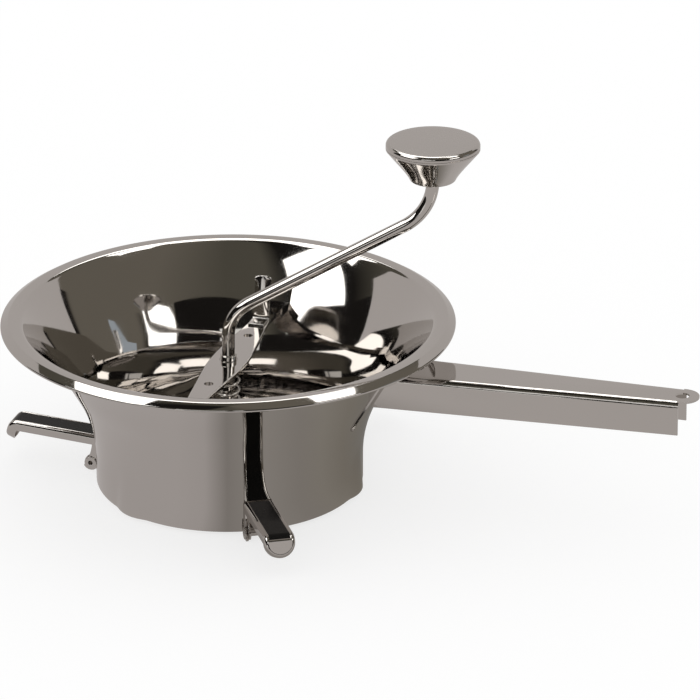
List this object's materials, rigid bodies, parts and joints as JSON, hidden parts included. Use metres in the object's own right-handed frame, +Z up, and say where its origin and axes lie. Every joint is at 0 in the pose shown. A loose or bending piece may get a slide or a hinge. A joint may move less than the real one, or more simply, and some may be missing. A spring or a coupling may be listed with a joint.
{
  "type": "food mill",
  "caption": "Hand-cranked food mill: flared steel bowl with a side handle, folding pan feet, and a sprung crank with a round knob that turns a ramp blade over a perforated disc.",
  "frame": {"origin": "on the bowl's axis at the level of the bowl's bottom edge, in the middle of the outlet; the feet's lobes reach 2.3 mm lower", "axes": "+Z up along the bowl's axis, +X along the side handle, +Y along the crossbar towards its release tab"},
  "size_m": [0.3877, 0.245, 0.1974],
  "materials": {
    "bowl_steel": "mirror-polished stainless sheet",
    "disc_steel": "polished perforated stainless sheet",
    "handle_steel": "polished stainless sheet",
    "foot_steel": "polished pressed stainless sheet",
    "bar_steel": "polished stainless plate",
    "rod_steel": "polished round bar",
    "blade_steel": "polished stainless sheet",
    "bush_steel": "turned steel",
    "rivet_steel": "pressed steel",
    "spring_steel": "drawn spring wire",
    "knob_metal": "turned and polished"
  },
  "bodies": {
    "root": {"bowl": "bowl_steel", "sieve_disc": "disc_steel", "side_handle": "handle_steel", "crossbar": "bar_steel", "release_tab": "bar_steel", "tab_rivet": "rivet_steel", "crossbar_bush": "bush_steel", "lug_rear": "bar_steel", "lug_front": "bar_steel", "foot_bracket_1": "foot_steel", "foot_bracket_2": "foot_steel", "foot_bracket_3": "foot_steel", "blade_spring": "spring_steel"},
    "spring_seat": {"spring_seat": "bush_steel"},
    "crank": {"crank_rod": "rod_steel", "crank_collar": "bush_steel", "blade_hub": "bush_steel", "hub_pin": "rivet_steel", "blade": "blade_steel", "knob_clip": "rivet_steel"},
    "knob": {"knob": "knob_metal", "knob_cap": "knob_metal"},
    "foot_1": {"foot_1": "foot_steel", "foot_pin_1": "rivet_steel"},
    "foot_2": {"foot_2": "foot_steel", "foot_pin_2": "rivet_steel"},
    "foot_3": {"foot_3": "foot_steel", "foot_pin_3": "rivet_steel"}
  },
  "joints": [
    {"name": "blade_lift", "type": "slide", "parent": "root", "child": "spring_seat", "axis": [0, 0, 1], "range_m": [0, 0.002], "stiffness_N_per_m": 800, "springref_m": -0.02, "deforming": ["blade_spring"]},
    {"name": "crank_turn", "type": "hinge", "parent": "spring_seat", "child": "crank", "pos_m": [0, 0, 0.06], "axis": [0, 0, 1], "continuous": true},
    {"name": "knob_turn", "type": "hinge", "parent": "crank", "child": "knob", "pos_m": [0.10499, 0.0311, 0.18], "axis": [0, 0, 1], "continuous": true},
    {"name": "foot_1_fold", "type": "hinge", "parent": "root", "child": "foot_1", "pos_m": [-0.0774, 0, 0.0022], "axis": [0, -1, 0], "range_deg": [0, 160]},
    {"name": "foot_2_fold", "type": "hinge", "parent": "root", "child": "foot_2", "pos_m": [0.0387, -0.06703, 0.0022], "axis": [0.866, 0.5, 0], "range_deg": [0, 160]},
    {"name": "foot_3_fold", "type": "hinge", "parent": "root", "child": "foot_3", "pos_m": [0.0387, 0.06703, 0.0022], "axis": [-0.866, 0.5, 0], "range_deg": [0, 160]}
  ]
}
